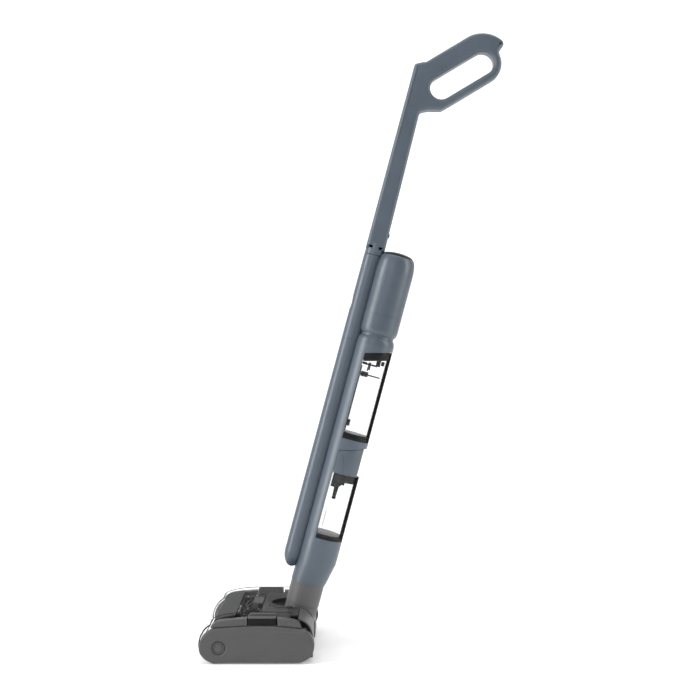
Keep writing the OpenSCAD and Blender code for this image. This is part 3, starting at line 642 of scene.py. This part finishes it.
def smooth_line(points, steps=8):
    """A Catmull-Rom line through points."""
    pts = [Vector(p) for p in points]
    out = []
    for i in range(len(pts) - 1):
        a = pts[max(i - 1, 0)]
        b, c = pts[i], pts[i + 1]
        d = pts[min(i + 2, len(pts) - 1)]
        for k in range(steps):
            t = k / steps
            out.append(0.5 * ((2 * b) + (c - a) * t + (2 * a - 5 * b + 4 * c - d) * t * t
                              + (3 * b - a - 3 * c + d) * t ** 3))
    out.append(pts[-1])
    return out


def ellipse(c, rx, ry, a0, a1, steps=24):
    """Points on an ellipse about c from a0 to a1 degrees."""
    return [Vector((c[0] + rx * math.cos(math.radians(a0 + (a1 - a0) * i / steps)),
                    c[1] + ry * math.sin(math.radians(a0 + (a1 - a0) * i / steps))))
            for i in range(steps + 1)]


def cover_top():
    """Top line of a side cover from its rear end to its front end."""
    rear = arc_points(REAR_CENTRE, 29.5, 60, 74, 3)
    front = arc_points((ROLLER_Y, ROLLER_Z), FRONT_R, 92, 110, 3)
    return smooth_line([rear[0], rear[2], (-24.6, 63.3), (-53, COVER_H), (-91.1, 63.7),
                        front[0], front[2]])


def cover_loop():
    """Outline of a side cover in (y, z)."""
    c = (ROLLER_Y, ROLLER_Z)
    return (ellipse(c, FRONT_R, FRONT_RISE, 180, 255) + [Vector((ROLLER_Y + 13, 2.1))]
            + arc_points(REAR_CENTRE, 29.4, -88, 58, 30) + cover_top()
            + arc_points(c, FRONT_R, 112, 178, 24))


def shell(name, mesh, outward, material, body, node, thickness=0.0022):
    """Opens a plate on its hidden side and gives it a wall thickness."""
    bm = bmesh.new()
    bm.from_mesh(mesh)
    side = [f for f in bm.faces if f.normal.x * outward < -0.3]
    bmesh.ops.delete(bm, geom=side, context="FACES")
    bm.to_mesh(mesh)
    bm.free()
    piece = link(name, mesh, material, body, node)
    wall = piece.modifiers.new("wall", "SOLIDIFY")
    wall.thickness = thickness
    wall.offset = -1
    return piece


def side_covers():
    """The two side covers; the left one has the hole for the roller button."""
    mid = (HALF + INNER) / 2
    hole = [Vector((ROLLER_Y, ROLLER_Z)) + p for p in arc_points((0, 0), 11.0, 0, 360, 48)[:-1]]
    for name, sign, loops in (("left_cover", 1, [mm(cover_loop()), mm(hole)]),
                              ("right_cover", -1, [mm(cover_loop())])):
        mesh = plate(name, loops, HALF - INNER, COVER_ROLL, side_matrix(sign * mid), 6)
        shell(name, mesh, sign, "head", "head",
              "side_cover_left" if sign > 0 else "side_cover_right")


def release_button():
    """Round roller button with its ring."""
    seat = axes_matrix(Vector((HALF - 0.008, ROLLER.y, ROLLER.z)), Vector((0, 1, 0)),
                       Vector((0, 0, 1)))
    cap = revolve("roller_key", [(0, 0), (0.0124, 0), (0.0124, 0.002), (0.0105, 0.002),
                                 (0.0105, 0.0058), (0.0100, 0.0066), (0.0090, 0.0070),
                                 (0.0083, 0.0070), (0.0080, 0.0060), (0.0072, 0.0060),
                                 (0.0069, 0.0069), (0.0060, 0.0072), (0.003, 0.0070), (0, 0.0069)],
                  seat, 64)
    link("roller_key", cap, "head", body_of("roller_release_button"), "roller_release_button")


def rail_loop(y0, y1):
    """Section of a top rail in (y, z) between two stations, above its side cover."""
    top = smooth_line([(-144, 62.0), (-139.5, 67.5), (-128, 73.2), (-98, 76.3), (-76, 77.7), (-53, 78.1),
                       (-30, 77.3), (-12, 75.5), (0, 73.4), (7, 69.6), (10.5, 62.0)])
    low = [Vector((p.x, p.y + 0.5)) for p in cover_top()]
    ceiling = [p for p in top if y0 <= p.x <= y1]
    floor = [p for p in low if y0 <= p.x <= y1]
    return ceiling, floor


def side_rails():
    """Strips over the side covers, with a low bridge under each latch."""
    for label, sign in (("left", 1), ("right", -1)):
        parts = []
        for y0, y1 in ((-146, -80.5), (-31.5, 14)):
            ceiling, floor = rail_loop(y0, y1)
            parts.append(plate("rail", [mm(ceiling + floor)], 0.0158, 0.0022,
                               side_matrix(sign * (HALF - 0.0021 - 0.0079)), 5))
        strip_floor = rail_loop(-84, -28)[1]
        lower = [Vector((p.x, p.y + 1.2)) for p in strip_floor]
        bridge = plate("bridge", [mm(strip_floor + lower[::-1])], 0.003, 0.0003,
                       side_matrix(sign * (HALF - 0.006)), 2)
        parts.append(bridge)
        link(f"{label}_rail", join_meshes(f"{label}_rail", parts), "head", "head",
             f"side_rail_{label}")


def latches():
    """Cover latches: a grey slab and band over a dark ribbed finger pad."""
    for label, sign in (("left", 1), ("right", -1)):
        hidden, seam_x = sign * (HALF - 0.0222), sign * (HALF - 0.0120)
        grip_x = sorted((seam_x, sign * (HALF - 0.0027)))
        front, rear = PIVOT.y - 0.0798, PIVOT.y - 0.0322
        slab = plate("latch_slab", [mm(rounded_loop([(-79.9, 65.8, 1), (-32.1, 65.8, 1),
                                                     (-32.1, 82.5, 6), (-36, 84, 4),
                                                     (-76, 84, 4), (-79.9, 80, 6)]))],
                     0.0100, 0.0014, side_matrix((hidden + seam_x) / 2), 4)
        band = block("latch_band", (grip_x[0], front, 0.0768), (grip_x[1], rear, 0.0800), 0.0008)
        pad = block("latch_pad", (grip_x[0], front, 0.0657), (grip_x[1], rear, 0.0763), 0.0012)
        ribs = [block("latch_rib", (grip_x[0] + 0.002, PIVOT.y + (-76 + i * 4.0) * MM, 0.0762),
                      (grip_x[1] - 0.001, PIVOT.y + (-75 + i * 4.0) * MM, 0.0769), 0.0003, 1)
                for i in range(11)]
        link(f"{label}_latch", join_meshes(f"{label}_latch", [slab, band]), "head",
             body_of(f"cover_latch_{label}"), f"cover_latch_{label}")
        link(f"{label}_latch_pad", join_meshes(f"{label}_latch_pad", [pad] + ribs), "bay",
             body_of(f"cover_latch_{label}"))


side_covers()
release_button()
side_rails()
latches()


# --- Tanks and their trims, in millimetres across, behind and up the body axis ---
TANK_R = 34.8
FRONT_V, REAR_V = -13.2, 29.9
TAN_LEAN = UP.y / UP.z
CLEAN_LOW, CLEAN_TOP = 155.7, 275.2
SPLIT_U, DIRTY_LOW, DIRTY_TOP = 319.5, 338.8, 497.8
TUBE_SEAM_R, TUBE_SEAM_U = 17.02, 511.0
CAN_SEAM_R, CAN_SEAM_U = 35.12, 566.5


def tank_plan(radius=TANK_R, front=FRONT_V, rear=REAR_V, steps=40):
    """Plan of a tank in (x, v): a round with flat front and rear."""
    a = math.degrees(math.asin(front / radius))
    b = math.degrees(math.asin(rear / radius)) if rear < radius else 90
    side = arc_points((0, 0), radius, a, b, steps)
    return side + [Vector((-p.x, p.y)) for p in side[::-1]]


def prism(name, plan, low, high, edge):
    """A column over a plan in (x, v) between two heights given as functions of v, edges rolled."""
    bm = bmesh.new()
    bottom = [bm.verts.new(stem(p.x, p.y, low(p.y))) for p in plan]
    top = [bm.verts.new(stem(p.x, p.y, high(p.y))) for p in plan]
    count = len(plan)
    bm.faces.new(bottom[::-1])
    bm.faces.new(top)
    for k in range(count):
        n = (k + 1) % count
        bm.faces.new((bottom[k], bottom[n], top[n], top[k]))
    bmesh.ops.recalc_face_normals(bm, faces=bm.faces)
    if edge:
        hard = [e for e in bm.edges if e.calc_face_angle(0) > math.radians(35)]
        bmesh.ops.bevel(bm, geom=hard, offset=edge, segments=3, affect="EDGES", profile=0.5)
    mesh = bpy.data.meshes.new(name)
    bm.to_mesh(mesh)
    bm.free()
    return mesh


def level(u):
    """A height that stays level with the floor when the body leans."""
    return lambda v: u + v * TAN_LEAN


def square(u):
    """A height square to the body axis."""
    return lambda v: u


def on_wall(v, u, radius=TANK_R + 0.1, side=1):
    """The place on a tank wall at v and u, on one side."""
    return stem(side * math.sqrt(max(radius * radius - v * v, 0)), v, u)


def wall_line(name, points, radius=0.3, lift=0.0, side=1):
    """A raised line along a tank wall through points (v, u)."""
    path = smooth_line(points, 6)
    return sweep(name, [on_wall(p.x, p.y, TANK_R + lift, side) for p in path], radius * MM, 8)


def rail_plan(front=28.4, radius=TANK_R):
    """Plan of a tank's rear rail in (x, v): the rear of the round."""
    a = math.degrees(math.asin(front / radius))
    return arc_points((0, 0), radius, a, 180 - a, 24)


def clean_cap():
    """Cap of the clean tank with its curved grip line, drawn as a dark line of painted shade."""
    cap = prism("clean_cap", tank_plan(), square(CLEAN_TOP), level(SPLIT_U - 0.5), 0.0009)
    link("clean_cap", cap, "blue", "clean_tank", "clean_tank_cap")
    grooves = [wall_line("groove", [(-12.6, 314.5), (-4.4, 308.5), (-0.4, 299.7), (3.4, 286.5),
                                    (2.0, 277.0)], 0.28, 0.0, s) for s in (1, -1)]
    link("clean_cap_groove", join_meshes("clean_cap_groove", grooves), "shade", "clean_tank")


def clean_trims():
    """Level line, catch, rear rail, hoop and plug of the clean tank."""
    lines = [wall_line("line", [(-7.2, 172), (-6.8, 190), (-6.6, 206)], 0.3, -0.3, s)
             for s in (1, -1)]
    link("clean_level_line", join_meshes("clean_level_line", lines), "block", "clean_tank")
    catch = block("rail_catch", (-0.006, 0.0296, 0.232), (0.006, 0.0342, 0.240), 0.0008, 3, STEM)
    link("clean_rail_catch", catch, "black", "clean_tank")
    rail = prism("clean_rail", rail_plan(), square(CLEAN_LOW + 0.4), square(CLEAN_TOP), 0.0004)
    link("clean_rail", rail, "rail", "clean_tank", "clean_tank_rail")
    hoop = prism("clean_hoop", tank_plan(TANK_R - 0.1, FRONT_V + 0.3, REAR_V), square(CLEAN_LOW + 6),
                 square(CLEAN_LOW + 8.4), 0.0004)
    link("clean_hoop", hoop, "black", "clean_tank")
    ribs = []
    for k in range(5):
        a = -0.8 + k * 0.4
        ribs.append(block("plug_rib", (math.sin(a) * 0.031 - 0.0006, 0.0, 0.2560),
                          (math.sin(a) * 0.031 + 0.0006, 0.012, 0.2612), 0.0003, 1, STEM))
    ribs.append(block("plug_skirt", (-0.0150, -0.0112, 0.2485), (0.0150, -0.0020, 0.2615), 0.0012, 3, STEM))
    ribs.append(revolve("pipe_collar", [(0, 0), (0.0064, 0), (0.007, 0.0006), (0.007, 0.005),
                                        (0.0062, 0.0058), (0, 0.0058)], place_on_axis(0, 250.6), 32))
    ribs.append(revolve("pipe_tip", [(0, 0), (0.0030, 0.0), (0.0036, 0.0012), (0.0036, 0.004),
                                     (0.0026, 0.0044), (0, 0.0044)], place_on_axis(0, 226.0), 24))
    link("clean_plug_trims", join_meshes("clean_plug_trims", ribs), "black", "clean_tank")


def dirty_trims():
    """Hoop, front line, lid, rear rail, seal and foot of the dirty tank."""
    hoops = [wall_line("hoop", [(v, 456.8) for v in range(-12, 30, 6)], 0.75, -0.75, s)
             for s in (1, -1)]
    link("dirty_hoop", join_meshes("dirty_hoop", hoops), "gloss", "dirty_tank")
    post = [sweep("post", [stem(s * 31.9, -12.5, u) for u in range(352, 476, 6)], 0.0008, 8)
            for s in (1, -1)]
    link("dirty_front_line", join_meshes("dirty_front_line", post), "gloss", "dirty_tank")
    bits = [block("stop", (-0.012, -0.0128, 0.3605), (0.012, -0.0068, 0.3718), 0.0010, 3, STEM),
            block("hinge", (-0.016, -0.0126, 0.4744), (0.016, -0.0040, 0.4788), 0.0008, 3, STEM),
            block("hinge_arm", (-0.0022, -0.0060, 0.4744), (0.0022, 0.0150, 0.4776), 0.0006, 2, STEM),
            block("float_tab", (-0.0140, 0.0010, 0.4660), (-0.0115, 0.0036, 0.4800), 0.0004, 2, STEM),
            block("float_tab2", (0.0115, -0.0020, 0.4640), (0.0140, 0.0004, 0.4800), 0.0004, 2, STEM),
            block("catch", (-0.008, 0.0205, 0.4790), (0.008, 0.0262, 0.4868), 0.0008, 2, STEM)]
    for i in range(7):
        bits.append(block("comb", (-0.0190 + i * 0.0060, 0.0120, 0.4760),
                          (-0.0178 + i * 0.0060, 0.0190, 0.4880), 0.0003, 1, STEM))
    link("dirty_lid_trims", join_meshes("dirty_lid_trims", bits), "black", "dirty_tank")
    lid = prism("dirty_lid_cap", tank_plan(), level(DIRTY_TOP - 13.0), level(DIRTY_TOP - 0.1), 0.0004)
    link("dirty_lid_cap", lid, "black", "dirty_tank", "dirty_tank_lid")
    rail = prism("dirty_rail", rail_plan(), square(DIRTY_LOW + 0.5), level(DIRTY_TOP - 0.5), 0.0004)
    link("dirty_rail", rail, "rail", "dirty_tank", "dirty_tank_rail")
    seal = prism("dirty_seal", tank_plan(TANK_R - 1.6, FRONT_V + 1.4, REAR_V - 0.6), level(DIRTY_TOP - 15.2),
                 level(DIRTY_TOP - 13.0), 0.0005)
    link("dirty_seal", seal, "rubber", "dirty_tank")
    foot = [prism("foot_a", tank_plan(), square(DIRTY_LOW + 0.5), square(DIRTY_LOW + 6.2), 0.0006),
            prism("foot_b", tank_plan(TANK_R - 1.2, FRONT_V + 1, REAR_V), square(DIRTY_LOW + 6.2),
                  square(DIRTY_LOW + 7.4), 0.0),
            prism("foot_c", tank_plan(), square(DIRTY_LOW + 7.4), square(DIRTY_LOW + 11.0), 0.0006)]
    link("dirty_foot", join_meshes("dirty_foot", foot), "black", "dirty_tank", "dirty_tank_base")


def seam_lines():
    """Parting lines round the tube and the can, drawn as dark lines of painted shade."""
    tube = [stem(TUBE_SEAM_R * math.cos(a), TUBE_V - TUBE_SEAM_R * math.sin(a), TUBE_SEAM_U)
            for a in [math.radians(-30 + 240 * i / 40) for i in range(41)]]
    can = [stem(CAN_SEAM_R * math.cos(a), CAN_SEAM_R * math.sin(a), CAN_SEAM_U)
           for a in [math.radians(-42 + 264 * i / 60) for i in range(61)]]
    seams = [sweep("tube_seam", tube, 0.00022, 6), sweep("can_seam", can, 0.0002, 6)]
    link("stem_seams", join_meshes("stem_seams", seams), "shade", "stem")


clean_cap()
clean_trims()
dirty_trims()
seam_lines()


# --- Under the clear cover ---
def cover_path(x, inset=0.0):
    """The clear cover's outer line at x metres, from the front lip over the dome to its rear."""
    c = (ROLLER_Y, ROLLER_Z)
    lip_r, visor_r = 36.8 - inset, 41.1 - inset
    front = ellipse(c, lip_r, visor_r, 184, 114, 22)
    dome = [(-142, 72.2), (-138, 75.6), (-129.2, 78.8), (-118, 81.5), (-105, 83.5), (-83.2, 85.0),
            (-50, 85.0), (-14, 85.0), (-5, 82.4)]
    line = front[:-1] + smooth_line([(y, z - inset) for y, z in dome], 5)
    return [head_point(x / MM, p[0], p[1]) for p in line]


def cover_lines():
    """Painted shade and painted highlights of the top cover: black lines along its edges where clear plastic
    looks dark edge on, and pale bars across it for glints.
    """
    edge = INNER - 0.0052
    # Painted shade: black lines along the cover's side edges, over its dome and along its front lip, where
    # the clear plastic looks dark edge on.
    parts = []
    for side in (1, -1):
        path = cover_path(side * edge, 1.1)
        parts.append(sweep("cover_edge", path[:26], 0.0011, 8))
        parts.append(sweep("cover_rim", [p + Vector((0, 0, 0.0006)) for p in path[25:]], 0.0006, 8))
    front = [head_point(x, ROLLER_Y - 35.6, ROLLER_Z - 2.0) for x in range(-105, 106, 15)]
    parts.append(sweep("cover_lip", front, 0.0010, 8))
    link("painted_cover_edge_shade", join_meshes("painted_cover_edge_shade", parts), "gloss", "top_cover")
    # Painted highlight: pale bars across the cover's front and top for glints.
    bars = [sweep("cover_bar", [head_point(x, -137.5, 75.3) for x in range(-98, 99, 14)], 0.0004, 6)]
    bars += [sweep("cover_bar", [head_point(side * x, -20, 84.3) for x in range(42, 99, 14)], 0.0004, 6)
             for side in (1, -1)]
    link("painted_cover_glints", join_meshes("painted_cover_glints", bars), "glint", "top_cover")


def head_box(name, low, high, edge=0.8, steps=2):
    """A block in the head between two corners in millimetres."""
    a, b = head_point(*low), head_point(*high)
    return block(name, a, b, edge * MM, steps)


def head_details():
    """Casings, clips, springs and wiring that show through the clear cover."""
    dark = [head_box("bay", (-96, -108, 60), (100, -66, 64.0)),
            head_box("gear_case", (-92, -104, 64.0), (-66, -70, 72.5), 1.6, 3),
            head_box("clip_a", (12, -104, 64), (30, -97, 73.0), 0.7),
            head_box("clip_b", (44, -104, 64), (62, -97, 71.5), 0.7),
            head_box("bridge", (-4, -72, 64), (0, -64.5, 76.2), 0.6),
            head_box("rail_bar", (-58, -99.5, 76.0), (64, -97.9, 77.6), 0.5),
            head_box("hook", (76, -92, 64), (84, -70, 74.0), 0.8)]
    for i in range(9):
        dark.append(head_box("fin", (4 + i * 7, -92.6, 67.2), (5.4 + i * 7, -68.4, 68.6), 0.25, 1))
    link("bay_casings", join_meshes("bay_casings", dark), "bay", "head")
    light = []
    for x in (18, 52):
        coil = []
        for i in range(150):
            a = i / 150 * 2 * math.pi * 7
            coil.append(head_point(x + i * 0.09, -101 + 2.0 * math.cos(a), 75.0 + 2.0 * math.sin(a)))
        light.append(sweep("spring", coil, 0.00035, 6))
    for x, y in ((-84, -80), (-74, -96), (8, -90), (62, -90), (62, -71), (8, -71)):
        z = 72.5 if x < 0 else 67.2
        seat = Matrix.Translation(head_point(x, y, z))
        light.append(revolve("screw", [(0, 0), (0.0019, 0), (0.0019, 0.0006), (0.0014, 0.0011),
                                       (0.0007, 0.0011), (0.0006, 0.0006), (0, 0.0006)], seat, 20))
    link("bay_springs", join_meshes("bay_springs", light), "steel", "head")
    wires = []
    for k, (x0, x1, bulge) in enumerate(((-66, 2, 3.5), (-66, 4, 5.5), (-66, 6, 1.5))):
        path = smooth_line([head_point(x0, -90 + 3 * k, 69), head_point(x0 + 18, -94 + 3 * k, 66 + bulge),
                            head_point(-20, -96 + 2 * k, 65.6 + bulge), head_point(x1, -91 + 2 * k, 67)], 8)
        wires.append(sweep("wire", path, 0.0009, 8))
    link("bay_wires", join_meshes("bay_wires", wires), "shade", "head")


def roller_pile():
    """Pile sleeve with uneven tufts and six slow spiral ridges, between its core and outer radius."""
    rows, around = 150, 220
    half = HALF - 0.0212
    radius, core = 0.0271, 0.0201
    bm = bmesh.new()
    rings = []
    for i in range(rows + 1):
        x = -half + 2 * half * i / rows
        ring = []
        for k in range(around):
            a = 2 * math.pi * k / around
            place = Vector((x * 340, math.cos(a) * 11, math.sin(a) * 11))
            tuft = mathutils.noise.noise(place) * 0.5 + mathutils.noise.noise(place * 2.7) * 0.5
            ridge = 0.5 + 0.5 * math.cos(6 * a + x * 55)
            r = radius - 0.0009 + 0.0004 * ridge + 0.00045 * tuft
            ring.append(bm.verts.new((x, ROLLER.y + r * math.cos(a), ROLLER.z + r * math.sin(a))))
        rings.append(ring)
    for a, b in zip(rings, rings[1:]):
        for k in range(around):
            n = (k + 1) % around
            bm.faces.new((a[k], b[k], b[n], a[n]))
    for ring, x in ((rings[0], -half), (rings[-1], half)):
        hub = [bm.verts.new((x, ROLLER.y + core * math.cos(2 * math.pi * k / around),
                             ROLLER.z + core * math.sin(2 * math.pi * k / around)))
               for k in range(around)]
        for k in range(around):
            n = (k + 1) % around
            bm.faces.new((ring[k], ring[n], hub[n], hub[k]))
    bmesh.ops.recalc_face_normals(bm, faces=bm.faces)
    mesh = bpy.data.meshes.new("pile_sleeve")
    bm.to_mesh(mesh)
    bm.free()
    link("pile_sleeve", mesh, "pile", "roller", "roller_sleeve")


cover_lines()
head_details()
roller_pile()


# --- Stage ---
def stage():
    """A pale paper floor that curves up into a backdrop behind the object."""
    bm = bmesh.new()
    rows = []
    for i in range(33):
        t = i / 32
        if t < 0.5:
            x, z = 9 - t * 24, 0.0
        elif t < 0.75:
            a = (t - 0.5) * 4 * math.pi / 2
            x, z = -3 - 1.5 * math.sin(a), 1.5 - 1.5 * math.cos(a)
        else:
            x, z = -4.5, 1.5 + (t - 0.75) * 44
        rows.append([bm.verts.new((x, y, z)) for y in (-16, 16)])
    for a, b in zip(rows, rows[1:]):
        bm.faces.new((a[0], a[1], b[1], b[0]))
    mesh = bpy.data.meshes.new("sweep")
    bm.to_mesh(mesh)
    bm.free()
    obj = bpy.data.objects.new("sweep", mesh)
    bpy.context.scene.collection.objects.link(obj)
    for poly in mesh.polygons:
        poly.use_smooth = True
    mat, tree, shader = new_material("sweep_paper")
    paper = noise(tree, 6.0, 3.0)
    tree.links.new(mix(tree, spread(tree, paper, 0.0, 1.0), (0.9, 0.9, 0.9), (0.92, 0.92, 0.92)),
                   shader.inputs["Base Color"])
    shader.inputs["Roughness"].default_value = 0.85
    shader.inputs["Emission Color"].default_value = (1, 1, 1, 1)
    shader.inputs["Emission Strength"].default_value = 0.18
    mesh.materials.append(mat)


def area(name, place, target, size, watts):
    """A soft rectangular light at place that faces target."""
    light = bpy.data.lights.new(name, "AREA")
    light.shape = "RECTANGLE"
    light.size, light.size_y = size
    light.energy = watts
    obj = bpy.data.objects.new(name, light)
    bpy.context.scene.collection.objects.link(obj)
    obj.location = place
    direction = Vector(target) - Vector(place)
    obj.rotation_euler = direction.to_track_quat("-Z", "Y").to_euler()
    obj.visible_camera = False


def lights():
    """Soft studio lights and a dim white world."""
    world = bpy.data.worlds.new("studio")
    world.use_nodes = True
    world.node_tree.nodes["Background"].inputs[0].default_value = (1, 1, 1, 1)
    world.node_tree.nodes["Background"].inputs[1].default_value = 0.3
    bpy.context.scene.world = world
    bpy.context.scene.view_settings.view_transform = "Standard"
    area("front_strip", (0.7, -2.0, 1.2), (0, 0, 0.55), (0.7, 2.2), 46)
    area("back_strip", (0.5, 2.1, 1.3), (0, 0, 0.55), (0.7, 2.2), 30)
    area("top_soft", (0.2, 0, 2.8), (0, 0, 0.3), (2.2, 2.2), 26)
    area("camera_fill", (3.2, -0.9, 1.9), (0, 0, 0.3), (1.6, 1.6), 15)
    area("backdrop", (-2.4, 0, 2.8), (-4.2, 0, 0.9), (6.0, 1.5), 60)


def camera():
    """Level camera beside the object, at the view of the photograph."""
    data = bpy.data.cameras.new("camera")
    data.lens = 60.0
    data.sensor_width = 36.0
    obj = bpy.data.objects.new("camera", data)
    bpy.context.scene.collection.objects.link(obj)
    obj.location = (2.1, PIVOT.y + 0.0936, 0.5326)
    obj.rotation_euler = (math.radians(90), 0, math.radians(90))
    bpy.context.scene.camera = obj


stage()
lights()
camera()
